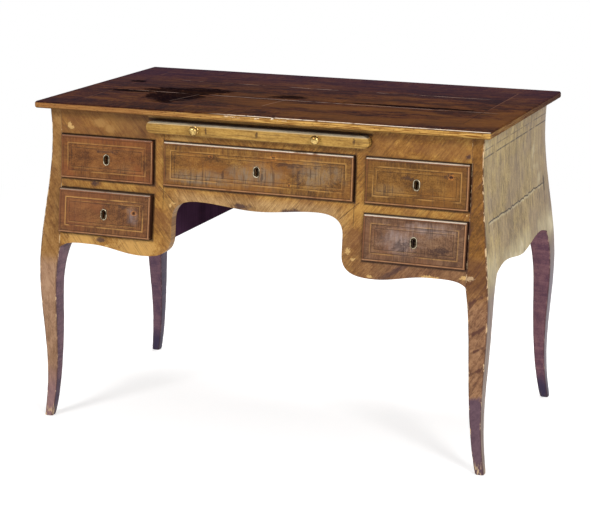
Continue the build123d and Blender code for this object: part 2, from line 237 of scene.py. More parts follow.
def besideDrawers(x, z):
    # how far a place on the front of the case is from the nearest drawer, reckoned from frames
    # that reach a little further to the right and below, where the painted shade of the proud
    # drawers lies wider
    gaps = []
    for name in drawers:
        low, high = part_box(f"drawer_{name}_front")
        right, bottom = high.x + frontLook["shadeReach"], low.z - frontLook["shadeReach"]
        across = abs(x - (low.x + right) / 2) - (right - low.x) / 2
        rise = abs(z - (bottom + high.z) / 2) - (high.z - bottom) / 2
        gaps.append(across.most(rise))
    return reduce(Wire.least, gaps)


def titled(name):
    return name.title().replace("_", "")


def gridFaces(rows, columns, closed):
    # quads of a grid of points, row by row; closed joins the last column to the first
    row, column = np.meshgrid(np.arange(rows - 1), np.arange(columns - (not closed)), indexing="ij")
    after = (column + 1) % columns
    quads = [row * columns + column, row * columns + after]
    quads += [(row + 1) * columns + after, (row + 1) * columns + column]
    return np.stack(quads, axis=-1).reshape(-1, 4)


def newObject(name, data):
    made = bpy.data.objects.new(name, data)
    bpy.context.scene.collection.objects.link(made)
    return made


def addPiece(name, points, faces, material, body):
    mesh = bpy.data.meshes.new(name)
    mesh.from_pydata(points.reshape(-1, 3).tolist(), [], faces)
    mesh.validate()
    mesh.polygons.foreach_set("use_smooth", [True] * len(mesh.polygons))
    mesh.set_sharp_from_angle(angle=smoothAngle)
    mesh.materials.append(material)
    piece = newObject(name, mesh)
    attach(piece, body)
    return piece


def mergeDoubles(piece, distance=1e-6):
    work = bmesh.new()
    work.from_mesh(piece.data)
    bmesh.ops.remove_doubles(work, verts=work.verts, dist=distance)
    bmesh.ops.recalc_face_normals(work, faces=work.faces)
    work.to_mesh(piece.data)
    work.free()
    piece.data.set_sharp_from_angle(angle=smoothAngle)


def paint(material, *names):
    for name in names:
        nodes[name].data.materials.clear()
        nodes[name].data.materials.append(material)


def extents(name, heights):
    # lowest and highest x and y of a node's section at each height: every edge that crosses the
    # height gives a point in proportion between its two ends
    mesh = nodes[name].data
    points = np.zeros(len(mesh.vertices) * 3, np.float32)
    mesh.vertices.foreach_get("co", points)
    points = points.reshape(-1, 3).astype(float)
    ends = np.zeros(len(mesh.edges) * 2, np.int32)
    mesh.edges.foreach_get("vertices", ends)
    first, second = points[ends[0::2]], points[ends[1::2]]
    rise = second[:, 2] - first[:, 2]
    sloped = np.abs(rise) > 1e-7
    first, second, rise = first[sloped], second[sloped], rise[sloped]
    share = (heights[:, None] - first[None, :, 2]) / rise[None, :]
    inside = (share >= 0) & (share <= 1)
    found = []
    for axis in (0, 1):
        place = first[None, :, axis] + share * (second - first)[None, :, axis]
        found.append(np.where(inside, place, np.inf).min(axis=1))
        found.append(np.where(inside, place, -np.inf).max(axis=1))
    return found


def waves(values, seed, scale):
    # smooth made-up unevenness between -1 and 1: a sum of sines whose pitches share no factor
    turns = np.random.default_rng(seed).uniform(0, 2 * np.pi, 4)
    pitches = np.array([1.0, 1.73, 2.91, 4.37]) / scale
    heights = np.array([0.4, 0.3, 0.2, 0.1])
    return sum(h * np.sin(2 * np.pi * p * values + t) for h, p, t in zip(heights, pitches, turns))


# The board on top

topLook = {
    "edgeRadius": 0.006,
    "gridLines": (150, 72),
    "crackWidth": 0.0006,
    "crackClear": 0.008,
    "bandInset": 0.089,
    "frontEdge": (-0.3245, -0.3265),
    "reddish": (67, 34, 20),
    "deep": (27, 13, 15),
    "purple": (44, 22, 40),
    "brown": (92, 56, 24),
    "ink": (10, 7, 11),
    "edgePale": (202, 158, 86),
    "edgeBrown": (120, 76, 34),
    "edgeLeft": (136, 90, 54),
    "edgeSide": (92, 62, 50),
    "wornWhite": (236, 222, 196),
    "rimPale": (238, 216, 190),
    "scratch": (128, 86, 68),
    "glint": (156, 128, 114),
    # board joints that have opened: start x, end x, y, how far the middle bows, depth
    "cracks": [(-0.54, 0.53, -0.074, -0.006, 0.0009), (-0.43, 0.46, 0.126, -0.006, 0.0008)],
    # here and below, spots are given by the two coordinates of the middle and the half sizes
    "stains": [
        (-0.305, -0.045, 0.11, 0.055),
        (-0.29, -0.125, 0.08, 0.08),
        (-0.28, -0.195, 0.034, 0.042),
        (-0.24, -0.02, 0.062, 0.04),
        (-0.42, -0.088, 0.075, 0.02),
        (-0.022, -0.035, 0.054, 0.026),
        (-0.483, 0.065, 0.024, 0.018),
        (0.3, -0.058, 0.19, 0.014),
    ],
    # fine scratches: x and y of one end, length along y, lean
    "scratches": [
        (-0.258, -0.14, 0.066, 0.2),
        (-0.026, -0.126, 0.063, 0.16),
        (0.02, -0.24, 0.03, 2.4),
        (-0.16, -0.22, 0.02, 3.1),
    ],
}


def makeTop():
    low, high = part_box("top_board")
    look = topLook
    radius = look["edgeRadius"]
    turn = radius * math.pi / 2
    # lines of the sheet: even ones, closer ones beside each crack, those that bend over the edge
    wrap = np.append(np.linspace(0, turn, 7)[1:], turn + (high.z - low.z) / 2 - radius)
    coreX, coreY = high.x - radius, high.y - radius
    countX, countY = look["gridLines"]
    xs = np.linspace(-coreX, coreX, countX)
    ys = np.linspace(-coreY, coreY, countY)
    offsets = np.array([-6, -2.4, -1.2, -0.7, -0.35, 0, 0.35, 0.7, 1.2, 2.4, 6]) / 1000
    places = [crack[2] for crack in look["cracks"]]
    for place in places:
        ys = ys[np.abs(ys - place) > look["crackClear"]]
    ys = np.sort(np.concatenate([ys] + [place + offsets for place in places]))
    xs = np.concatenate([-coreX - wrap[::-1], xs, coreX + wrap])
    ys = np.concatenate([-coreY - wrap[::-1], ys, coreY + wrap])
    s, t = np.meshgrid(xs, ys, indexing="ij")
    # a sheet laid over the board: beyond the flat it bends by a quarter circle, then hangs straight
    coreS, coreT = np.clip(s, -coreX, coreX), np.clip(t, -coreY, coreY)
    overS, overT = s - coreS, t - coreT
    over = np.maximum(np.abs(overS), np.abs(overT))
    away = np.maximum(np.hypot(overS, overT), 1e-12)
    worn = 1 - 0.12 * (1 + waves(s + 1.7 * t, 11, 0.083)) * (over > 0)
    angle = np.minimum(over / radius, math.pi / 2)
    reach = radius * np.sin(angle) * worn
    x = coreS + overS / away * reach
    y = coreT + overT / away * reach
    drop = radius * (1 - np.cos(angle)) + np.maximum(over - turn, 0)
    upper = np.stack([x, y, high.z - drop], axis=-1)
    lower = np.stack([x, y, low.z + drop], axis=-1)
    # an opened joint is a groove along a parabola with a slow waver; its depth comes and goes, and
    # falls off to both sides by a bell curve
    flat = over == 0
    for start, end, place, bow, depth in look["cracks"]:
        share = (coreS - start) / (end - start)
        line = place + bow * 4 * share * (1 - share) + 0.0015 * waves(coreS, 7, 0.31)
        nearby = np.exp(-(((t - place) / 0.045) ** 2))
        upper[..., 1] += (line - place) * nearby * flat
        gap = (upper[..., 1] - line) / look["crackWidth"]
        ends = np.clip((coreS - start) / 0.03, 0, 1) * np.clip((end - coreS) / 0.03, 0, 1)
        opened = ends * (0.55 + 0.45 * waves(coreS, 3, 0.19))
        upper[..., 2] -= depth * np.exp(-gap * gap) * opened * flat
    # the board sags a little here and there
    upper[..., 2] -= 0.00018 * (1 + waves(s * 1.3 + t, 5, 0.47)) * flat
    rows, columns = s.shape
    faces = gridFaces(rows, columns, False)
    points = np.concatenate([upper.reshape(-1, 3), lower.reshape(-1, 3)])
    faces = np.concatenate([faces, faces[:, ::-1] + rows * columns]).tolist()
    top = addPiece("topBoard", points, faces, topFinish(low, high), "carcass")
    mergeDoubles(top, 1e-5)
    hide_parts("top_board")
    return top


def topFinish(low, high):
    f, look = Finish("topVeneer"), topLook
    x, y, z = f.position()
    inset = look["bandInset"]
    banded = crossBanding(x, y, high.x, high.y, inset, 0.0003)
    fromSides, _, border, onSides, banding = banded
    field = woodTone(f, x * 0.7, y, 3.0, 170, 26, 0.085)
    sideBand = woodTone(f, x, y * 0.8, 8.0, 120, 30, 0.1)
    endBand = woodTone(f, y, x * 0.8, 12.0, 120, 30, 0.1)
    tone = f.choose(banding, field, f.choose(onSides, endBand, sideBand))
    plank = f.noise(x * 0.8, y * 11 + 0.7, 4.0, 2.0)
    # painted reflection of dark surroundings: the top turns purple towards the back and the left
    back = y.ease(-0.05, 0.34) * 0.62 + x.ease(-0.25, -0.6) * 0.3
    golden = f.noise(x * 3, y * 9, 2.0, 4.0, 0.6).ease(0.44, 0.56)
    golden = golden * y.ease(0.1, -0.15) * x.ease(-0.35, 0.05)
    ragged = (f.noise(x * 22, y * 60, 1.0, 5.0, 0.75) - 0.5) * 2.4
    ink = f.blots(x, y, look["stains"], ragged, 0.2)
    dust = f.noise(x * 70, y * 240, 7.0, 3.0, 0.7).ease(0.58, 0.68)
    pale = f.noise(x * 9, y * 3, 6.0, 3.0, 0.7)
    layers = [
        (plank.ease(0.46, 0.6) * 0.45, "deep"),
        (hairLines(f, x, y, 5.0, 130) * 0.6, "ink"),
        (back.least(0.7), "purple"),
        (golden * 0.6, "brown"),
        (ink * (0.88 - dust * 0.5), "ink"),
        (dust * 0.2, "scratch"),
    ]
    joints = []
    for start, end, place, bow, _ in look["cracks"]:
        share = (x - start) / (end - start)
        waver = (f.noise(x * 5, 0.0, end, 3.0) - 0.5) * 0.006
        off = y - (share * (1 - share) * 4 * bow + place) + waver
        ends = share.between(0.0, 0.05, 0.95, 1.0)
        dark = off.near(-0.0022, 0.0016) * ends
        glint = off.near(0.001, 0.0009) * ends * (pale + x * 0.12).ease(0.42, 0.54)
        layers += [(dark * 0.85, "ink"), (glint * 0.7, "glint")]
        joints.append(dark)
    for startX, startY, length, lean in look["scratches"]:
        line = (x - startX - (y - startY) * lean).near(0.0, 0.0007)
        line = line * abs(y - startY).ease(length, length * 0.8)
        layers.append((line * dust.ease(-0.9, 0.6) * 0.5, "glint"))
    seam = border.near(inset, 0.0008) * pale.ease(0.38, 0.54)
    shown = x.ease(0.1, -0.1).most(y.ease(-0.06, 0.02))
    layers += [
        (seam * shown * 0.4, "scratch"),
        (border.near(inset + 0.0024, 0.0008) * 0.5, "ink"),
    ]
    # the edge is paler, golden at the front, with chips where the veneer ends
    edgeGrain = f.noise(x * 18, y * 18, z * 520, 3.0).ease(0.36, 0.62)
    fleck = f.noise(x * 130, y * 130, z * 300, 2.0, 0.6)
    edge = f.mix(edgeGrain, look["edgeBrown"], look["edgePale"])
    edgeLayers = [
        (x.ease(0.1, -0.4) * 0.75, "edgeLeft"),
        (fromSides.ease(0.004, 0.001) * 0.65, "edgeSide"),
        (y.ease(-0.2, 0.25) * 0.7, "purple"),
        (z.ease(low.z + 0.005, low.z + 0.001) * 0.5, "deep"),
        (fleck.ease(0.58, 0.66) * 0.5, "deep"),
    ]
    front = y.ease(*look["frontEdge"])
    # painted highlight: a thin pale line along the upper front arris
    rim = z.near(high.z - 0.0013, 0.0004) * front * x.ease(-0.12, -0.04)
    rim = rim * f.noise(x * 34, 0.0, 3.0, 2.0).ease(0.34, 0.5)
    chipped = f.noise(x * 75, 0.5, z * 260, 3.0, 0.6).ease(0.58, 0.62)
    loss = z.near(high.z - 0.0036, 0.0022) * front * chipped * abs(x - 0.01).ease(0.1, 0.05)
    layers += [
        (z.ease(high.z - 0.0022, high.z - 0.0046), f.lay(edge, look, edgeLayers)),
        (rim * 0.8, "rimPale"),
        (loss * 0.85, "wornWhite"),
    ]
    wood = f.ramp(tone, [look["deep"], look["reddish"], look["brown"]], 0.55)
    grain = fibres(f, x, y, z)
    rough = tone * 0.1 + grain * 0.16 + 0.42
    polish = rim * 0.1 + (1 - ink) * 0.03
    height = grain * 0.3 + tone * 0.3 - reduce(Wire.__add__, joints)
    return f.surface(f.lay(wood, look, layers), rough, height, coat=polish, specular=0.0)


# Faded sides and the back; the posts' outer faces carry the same veneer

sideLook = {
    "wood": [(112, 92, 60), (160, 136, 89), (188, 164, 110)],
    "purple": (142, 122, 106),
    "line": (58, 44, 34),
    "pale": (204, 190, 154),
    # dark lines that run level: height, half width, strength
    "bands": [(0.733, 0.0011, 0.9), (0.751, 0.0009, 0.65)],
    # the split in the side, torn places at its two ends, and a nick below it
    "splitHeight": 0.582,
    "splitEnds": (-0.275, 0.235),
    "tearHeights": (0.556, 0.564, 0.582, 0.588),
    "farTearHeights": (0.556, 0.566, 0.592, 0.606),
    "nick": (0.012, 0.0016),
    "nickTop": (0.47, 0.458),
}


def sideVeneer(f, across, depth, z, isSide):
    # colour and relief of the faded veneer; across runs level along the face, depth away from it
    look = sideLook
    tone = woodTone(f, z, across, depth * 0.4 + 2, 150, 40, 0.12)
    fleck = f.noise(across * 300, z * 240, depth + 7, 2.0, 0.6)
    bloom = f.noise(across * 7, z * 7, depth + 4, 4.0, 0.6)
    rearwards = across.ease(0.0, 0.3) if isSide else 0.7
    shaded = bloom.ease(0.5, 0.62) * 0.3 + rearwards * 0.45
    # scraped places, where the wood is bare and a little paler
    lower = z.between(0.4, 0.45, 0.47, 0.535) * bloom.ease(0.62, 0.48)
    bared = (bloom.ease(0.46, 0.36) + lower) * (0.45 if isSide else 0.25)
    layers = [
        (hairLines(f, z, across, depth + 5, 45, 0.03) * 0.5, look["wood"][0]),
        (hairLines(f, z * 1.3, across, depth + 11, 60, 0.03) * 0.35, "line"),
        (fleck.ease(0.56, 0.66) * 0.3, "line"),
        (shaded.least(0.65), "purple"),
        (bared, "pale"),
    ]
    waver = (f.noise(across * 9, 0.0, 1.0, 3.0) - 0.5) * 0.004
    patchy = f.noise(across * 22, z * 22, 3.0, 2.0).ease(0.3, 0.52)
    marks = [
        (z + waver).near(height, width) * strength * patchy
        for height, width, strength in look["bands"]
    ]
    if isSide:
        start, end = look["splitEnds"]
        rag = f.noise(across * 34, 0.5, 2.0, 5.0, 0.75) - 0.5
        onRight = depth.ease(-0.1, 0.1)
        length = across.between(start, start + 0.006, end - 0.02, end + 0.03) * onRight
        rise = z - look["splitHeight"] - rag * 0.03
        tear = (across + rag * 0.006).near(start + 0.004, 0.002) * length
        farTear = (across + rag * 0.01).near(end + 0.006, 0.0035) * onRight
        marks += [
            rise.near(0.0, 0.001) * length * 1.15,
            tear * z.between(*look["tearHeights"]),
            farTear * z.between(*look["farTearHeights"]),
            across.near(*look["nick"]) * z.ease(*look["nickTop"]) * length,
        ]
        layers.append((rise.near(-0.0036, 0.0018) * length * patchy * 0.45, "pale"))
    dark = reduce(Wire.most, marks)
    layers.append(((dark * 0.9).least(1.0), "line"))
    return f.lay(f.ramp(tone, look["wood"]), look, layers), tone * 0.25 - dark


def fadedFinish(name, isSide):
    f = Finish(name)
    x, y, z = f.position()
    across, depth = (y, x) if isSide else (x, y)
    colour, relief = sideVeneer(f, across, depth, z, isSide)
    grain = fibres(f, z, across, depth)
    return f.surface(colour, grain * 0.2 + 0.42, relief + grain * 0.4, 0.0005, coat=0.03)


# Legs

legLook = {
    "edgeRadius": 0.0016,
    "rings": 170,
    "cornerSteps": 5,
    "footSpread": 0.0035,
    "grainAngle": 56,
    "facing": (0.6, 0.8),
    "caseFrom": (0.4, 0.47),
    "underTop": (0.775, 0.782),
    "streak": (78, 46, 36),
    "outline": (66, 42, 36),
    "inner": (120, 88, 97),
    "innerBar": (78, 53, 68),
    "faded": (138, 119, 106),
    "fadedDark": (106, 88, 80),
    "chip": (216, 186, 144),
    "rearFront": (126, 88, 94),
    "rearFrontDark": (89, 58, 73),
    "rearSide": (112, 104, 116),
    "rearFoot": (52, 42, 66),
    "rearShade": (57, 60, 85),
    # front legs: tones of post and shin, the heights over which one gives way to the other, tones
    # of the foot, where it begins, over how much, and how strongly it and the streaks show
    "left": {
        "seed": 2.0,
        "post": [(96, 60, 27), (132, 92, 47), (155, 116, 66)],
        "shin": [(116, 84, 59), (149, 114, 87), (169, 135, 106)],
        "shinFrom": (0.43, 0.385),
        "foot": [(112, 84, 102), (152, 116, 122)],
        "footTop": 0.105,
        "footFade": 0.05,
        "footShow": 0.62,
        "streakShow": 0.2,
    },
    "right": {
        "seed": 5.0,
        "post": [(88, 56, 22), (124, 82, 33), (150, 106, 50)],
        "shin": [(92, 60, 40), (135, 97, 68), (160, 122, 88)],
        "shinFrom": (0.46, 0.38),
        "foot": [(70, 50, 64), (96, 73, 86)],
        "footTop": 0.182,
        "footFade": 0.007,
        "footShow": 0.94,
        "streakShow": 0.6,
    },
    # on the right front leg: veneer torn beside the apron, a dark band at the knee, short streaks
    "torn": [(0.522, 0.463, 0.012, 0.005)],
    "kneeBand": (0.468, 0.026),
    "streaks": [
        (0.547, 0.345, 0.026, 0.008),
        (0.549, 0.25, 0.028, 0.007),
        (0.54, 0.42, 0.03, 0.008),
        (0.545, 0.3, 0.016, 0.005),
    ],
    # how much of a worn foot, and of all wear, shows pale
    "front": {"footPale": 0.9, "wearPale": 0.8},
    "rear": {"footPale": 0.1, "wearPale": 0.25},
}


def makeLeg(end, side):
    name = f"leg_{end}_{side}"
    low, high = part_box(name)
    # heights stand closer together at the foot, where the wear is
    rise = np.linspace(0, 1, legLook["rings"]) ** 1.25
    heights = low.z + 1e-5 + (high.z - low.z - 2e-5) * rise
    west, east, south, north = extents(name, heights)
    aboveKnee = np.clip((heights - 0.4) / 0.06, 0, 1)
    seed = 11 + 10 * (end == "rear") + (side == "right")
    inwardX = 1 if side == "left" else -1
    inwardY = 1 if end == "front" else -1
    # each ring is the node's section with rounded corners: a quarter circle about a centre that
    # lies one radius in from both sides; corners anticlockwise, by the signs of x and y
    corners = [(1, 1), (-1, 1), (-1, -1), (1, -1)]
    quarter = math.pi / 2
    arc = np.linspace(0, quarter, legLook["cornerSteps"])
    columns, wrap = [], []
    for index, (signX, signY) in enumerate(corners):
        flush = max(signX * inwardX, signY * inwardY) > 0  # a corner against the case stays crisp
        radius = legLook["edgeRadius"] * (1 + 0.5 * waves(heights, seed + index, 0.07))
        radius = radius * (1 - 0.9 * aboveKnee * flush)
        worn = 1 + 0.6 * waves(heights, seed + 20 + index, 0.011)
        radius = radius + legLook["footSpread"] * np.exp(-heights / 0.008) * worn
        edgeX, edgeY = (east if signX > 0 else west), (north if signY > 0 else south)
        for angle in arc + index * quarter:
            cornerX = edgeX - signX * radius + radius * np.cos(angle)
            cornerY = edgeY - signY * radius + radius * np.sin(angle)
            columns.append(np.stack([cornerX, cornerY, heights], axis=-1))
            wrap.append((math.cos(angle), math.sin(angle), 0.0))
        # halfway to the next corner, so that the distance from an edge can be painted
        nextX, nextY = corners[(index + 1) % 4]
        middleX = (east + west) / 2 if nextX != signX else edgeX
        middleY = (north + south) / 2 if nextY != signY else edgeY
        columns.append(np.stack([middleX, middleY, heights], axis=-1))
        flat = (index + 1) * quarter
        wrap.append((math.cos(flat), math.sin(flat), 0.02))
    points = np.stack(columns, axis=1)
    rows, count = points.shape[:2]
    faces = gridFaces(rows, count, True).tolist()
    faces.append(list(range(count))[::-1])
    faces.append([(rows - 1) * count + i for i in range(count)])
    material = legFinish(end, side, inwardX, inwardY)
    title = "leg" + titled(f"{end}_{side}")
    leg = addPiece(title, points, faces, material, "carcass")
    # wrap: which way a face looks, in x and y, and how far a point is from the nearest edge
    wrap = np.tile(np.array(wrap, np.float32), (rows, 1, 1))
    stored = leg.data.attributes.new("wrap", "FLOAT_VECTOR", "POINT")
    stored.data.foreach_set("vector", wrap.ravel())
    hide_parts(name)


def frontLegFace(f, side, x, y, z, ragged, cloud, speck):
    # colour and grain of a front leg's front, with the same rising grain as the case
    look, own = legLook, legLook[side]
    mirrored = x * (-1 if side == "left" else 1)
    along, across = turned(mirrored, z, look["grainAngle"])
    tone = woodTone(f, along, across * 0.7, own["seed"], 150, 52, 0.13)
    low = tone
    if side == "left":
        low = woodTone(f, z, x + y, own["seed"] + 7, 150, 30, 0.13)
    lines = hairLines(f, along, across, own["seed"] + 3, 60, 0.012) * z.ease(0.16, 0.2)
    layers = [
        (z.ease(*own["shinFrom"]), f.ramp(low, own["shin"])),
        (lines * own["streakShow"], "streak"),
    ]
    footTop, footFade = own["footTop"], own["footFade"]
    foot = (z + ragged * 0.6).ease(footTop + footFade, footTop - footFade)
    footLayer = (foot * own["footShow"], f.mix(tone, *own["foot"]))
    if side == "right":
        lean = (mirrored - 0.55) * 0.6
        spots = f.blots(x, z - lean, look["streaks"], (cloud - 0.5) * 3 + ragged * 14, 0.8)
        torn = f.blots(x, z, look["torn"], (speck + cloud - 1.0) * 3.0, 0.5)
        layers += [
            (spots * 0.9, "streak"),
            footLayer,
            (z.near(*look["kneeBand"]) * 0.55, "streak"),
            (torn * 0.5, "chip"),
        ]
    else:
        layers.append(footLayer)
    # painted shade beside the drawers and under the top
    paintedShade = besideDrawers(x, z).ease(0.0045, 0.0005) * 0.7
    layers.append((paintedShade.most(z.ease(*look["underTop"]) * 0.5), "outline"))
    return f.lay(f.ramp(tone, own["post"]), look, layers), tone


def legFinish(end, side, inwardX, inwardY):
    f, look = Finish("legVeneer" + titled(f"{end}_{side}")), legLook
    isFront, wearing = end == "front", legLook[end]
    x, y, z = f.position()
    faceX, faceY, fromEdge = f.attribute("wrap")

    def facing(part, sign):
        return (part * sign).ease(*look["facing"])

    ragged = (f.noise(x * 60, y * 60, z * 30, 3.0) - 0.5) * 0.05
    # inner faces are dark, with bars of grain that lie level
    bars = f.noise(x * 9, y * 9, z * 90, 4.0, 0.7)
    cloud = f.noise(x * 60, y * 60, z * 40, 4.0, 0.65)
    speck = f.noise(x * 300, y * 300, z * 300, 2.0, 0.6)
    grained = (bars * 0.4 + cloud * 0.35 + speck * 0.25).ease(0.38, 0.62)
    inner = f.mix(grained, look["inner"], look["innerBar"])
    worn = f.noise(x * 60, y * 120, z * 8, 4.0, 0.6).ease(0.35, 0.62)
    outer = f.mix(worn, look["fadedDark"], look["faded"])
    caseSide, relief = sideVeneer(f, y, x, z, True)
    onCase = z.ease(*look["caseFrom"])
    inwards, outwards = facing(faceX, inwardX), facing(faceX, -inwardX)
    facesInwards = inwards.most(facing(faceY, inwardY))
    if isFront:
        face, tone = frontLegFace(f, side, x, y, z, ragged, cloud, speck)
        footShade = facesInwards * (z + ragged).ease(0.13, 0.06) * 0.7
    else:
        # a rear leg's front is what shows beside the case; its back is faded like the sides
        tone = bars
        footShade = (z + ragged).ease(0.09, 0.02)
        facesInwards = facesInwards * (1 - facing(faceY, inwardY))
        outer = f.mix(z.ease(0.45, 0.3) * 0.8, outer, look["rearSide"])
        back = f.mix(onCase, outer, sideVeneer(f, x, y, z, False)[0])
        face = f.mix(grained, look["rearFront"], look["rearFrontDark"])
        face = f.mix(facing(faceY, -inwardY), face, back)
    layers = [(facesInwards, inner)]
    if not isFront and side == "left":
        # painted shade: this leg is darker than the others, most of all on its inner face
        layers.append((inwards * 0.3 + 0.3, "rearShade"))
    # worn edges and a foot that has lost its veneer in places
    nicks = f.noise(x * 170, y * 170, z * 50, 4.0, 0.65)
    wear = fromEdge.ease(0.0024, 0.0004) * (nicks + onCase * 0.06).ease(0.58, 0.63)
    foot = z.ease(0.034, 0.006) * nicks.ease(0.5, 0.55)
    pale = wear.most(foot * wearing["footPale"]) * wearing["wearPale"]
    darkEdge = fromEdge.ease(0.0026, 0.0006) * nicks.ease(0.6, 0.5)
    layers += [
        (outwards, f.mix(onCase, outer, caseSide)),
        (footShade, "rearFoot"),
        (darkEdge * 0.5, "outline"),
        (pale, "chip"),
    ]
    grain = fibres(f, z, x + y, 0.0)
    rough = grain * 0.2 + 0.4 + pale * 0.25
    height = grain * 0.3 + tone * 0.2 + relief * onCase * outwards - pale * 0.6
    return f.surface(f.lay(face, look, layers), rough, height, coat=0.05)


# The veneered front of the case: rails, stiles and aprons share one sheet of veneer

frontLook = {
    "wood": [(112, 70, 28), (148, 103, 46), (178, 134, 66)],
    "red": [(76, 48, 37), (128, 92, 72)],
    "tan": [(136, 104, 64), (190, 156, 110)],
    "brown": (116, 74, 40),
    "gold": (194, 150, 84),
    "knot": (58, 38, 40),
    "chip": (208, 170, 108),
    "line": (46, 28, 20),
    "grainAngle": 52,
    "shadeReach": 0.0025,
    # corner of the knee, where a mitre starts, and the slope of that mitre
    "kneeCorner": (0.2535, 0.6115),
    "kneeSlope": 0.9,
    # a dark streak: its rise per metre from the middle outwards, its height there, its ends in x
    "streak": (0.62, 0.247),
    "streakEnds": (0.3, 0.32, 0.37, 0.41),
    "knots": [
        (-0.039, 0.578, 0.03, 0.01),
        (0.084, 0.577, 0.034, 0.01),
        (-0.422, 0.603, 0.016, 0.01),
        (-0.403, 0.468, 0.015, 0.009),
        (0.507, 0.735, 0.008, 0.008),
    ],
    "golden": [
        (-0.198, 0.727, 0.05, 0.0075),
        (-0.411, 0.752, 0.026, 0.014),
        (-0.384, 0.738, 0.018, 0.012),
        (-0.455, 0.466, 0.06, 0.034),
        (-0.31, 0.458, 0.08, 0.034),
    ],
    # pale patches where veneer is lost
    "chips": [
        (-0.487, 0.736, 0.01, 0.006),
        (-0.492, 0.741, 0.006, 0.01),
        (-0.212, 0.572, 0.008, 0.003),
        (-0.222, 0.566, 0.004, 0.005),
        (-0.388, 0.455, 0.007, 0.004),
        (0.425, 0.457, 0.02, 0.004),
        (0.443, 0.454, 0.012, 0.006),
        (0.231, 0.497, 0.009, 0.009),
        (0.245, 0.48, 0.008, 0.005),
        (0.288, 0.445, 0.008, 0.004),
        (0.512, 0.462, 0.012, 0.005),
        (0.509, 0.603, 0.003, 0.003),
    ],
}


def frontFinish():
    f, look = Finish("frontVeneer"), frontLook
    x, _, z = f.position()
    mirrored = abs(x)
    half = x.ease(-0.002, 0.002) * 5
    railLow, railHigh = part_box("top_rail")
    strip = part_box("slide_strip")[1]
    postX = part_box("leg_front_right")[1].x - 0.002
    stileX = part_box("drawer_middle_front")[1].x + 0.0015
    along, across = turned(mirrored, z, look["grainAngle"])
    tone = woodTone(f, along, across, half, 210, 42, 0.12)
    # patches of browner, paler, redder and golden wood
    patch = f.noise(x * 12, z * 18, 1.0, 4.0, 0.6)
    fray = f.noise(x * 80, z * 80, 3.0, 4.0, 0.65) - 0.5
    golden = f.blots(x, z, look["golden"], fray * 1.6, 0.6)
    upper = z.ease(0.7, 0.73)
    lowRight = x.ease(0.16, 0.34) * z.ease(0.6, 0.5)
    lowMiddle = z.ease(0.61, 0.585) * mirrored.ease(0.25, 0.17)
    lines = hairLines(f, along, across, half + 4, 150, 0.018)
    knots = f.blots(x, z, look["knots"], fray * 2.2, 0.7)
    climb, start = look["streak"]
    streak = (z - mirrored * climb - start + fray * 0.01).near(0.0, 0.004)
    # mitres and joints
    slope = (railHigh.z - railLow.z) / (postX - railHigh.x)
    mitre = (z - (mirrored - railHigh.x) * slope - railLow.z).near(0.0, 0.0014)
    mitre = mitre * z.ease(railLow.z, railLow.z + 0.002)
    kneeX, kneeZ = look["kneeCorner"]
    kneeMitre = (z - kneeZ + (kneeX - mirrored) * look["kneeSlope"]).near(0.0, 0.0009)
    kneeMitre = kneeMitre * z.ease(kneeZ, kneeZ - 0.0015) * mirrored.ease(0.2, 0.21)
    stileJoint = mirrored.near(stileX, 0.0006) * z.between(0.55, 0.56, 0.735, 0.74)
    joints = mitre.most(stileJoint).most(kneeMitre)
    # painted shade under the top's overhang beside the slide, and around each drawer, made patchy
    # by a noise
    underTop = z.ease(railHigh.z - 0.01, railHigh.z - 0.001) * 0.45
    underTop = underTop * mirrored.ease(strip.x - 0.004, strip.x + 0.004)
    shadeNoise = f.noise(x * 40, z * 40, 6.0, 3.0)
    paintedShade = besideDrawers(x, z).ease(0.005, 0.0004) * (shadeNoise * 0.9 + 0.35)
    # over the writing slide: painted shadow right above it, and higher up painted light, a golden
    # tone that lifts the shade under the top's overhang
    overSlide = mirrored.ease(strip.x + 0.004, strip.x) * z.ease(strip.z - 0.003, strip.z)
    higher = z.ease(strip.z + 0.0035, strip.z + 0.0065)
    ragged = f.noise(x * 260, z * 260, 2.0, 3.0, 0.6) - 0.5
    chips = f.blots(x, z, look["chips"], ragged * 2.4 + fray * 2.2, 0.5)
    layers = [
        (patch.ease(0.5, 0.6) * 0.5, "brown"),
        (patch.ease(0.46, 0.38) * 0.35, look["wood"][2]),
        (golden * 0.75, "gold"),
        (x.ease(-0.2, -0.3) * upper * 0.5, "brown"),
        (x.between(-0.42, -0.33, -0.29, -0.27) * upper * 0.3, look["red"][0]),
        (lowRight * 0.75, f.mix(tone, *look["red"])),
        (lowMiddle * 0.7, f.mix(tone, *look["tan"])),
        (lines * 0.3, "line"),
        (knots * 0.85, "knot"),
        (streak * x.between(*look["streakEnds"]) * 0.6, "knot"),
        (joints * 0.6, "line"),
        (paintedShade.most(underTop).least(0.8), "line"),
        (overSlide * higher * 0.6, "gold"),
        (overSlide * (1 - higher) * 0.8, "line"),
        (chips * 0.7, "chip"),
        (chips.near(0.35, 0.15) * 0.5, "brown"),
    ]
    grain = fibres(f, along, across, half)
    rough = grain * 0.18 + 0.38 + chips * 0.2
    height = grain * 0.35 + tone * 0.3 - joints * 0.8 - chips * 0.3
    colour = f.lay(f.ramp(tone, look["wood"]), look, layers)
    return f.surface(colour, rough, height, coat=0.06)


# Drawer fronts: cross-banded border, line inlay, mottled middle

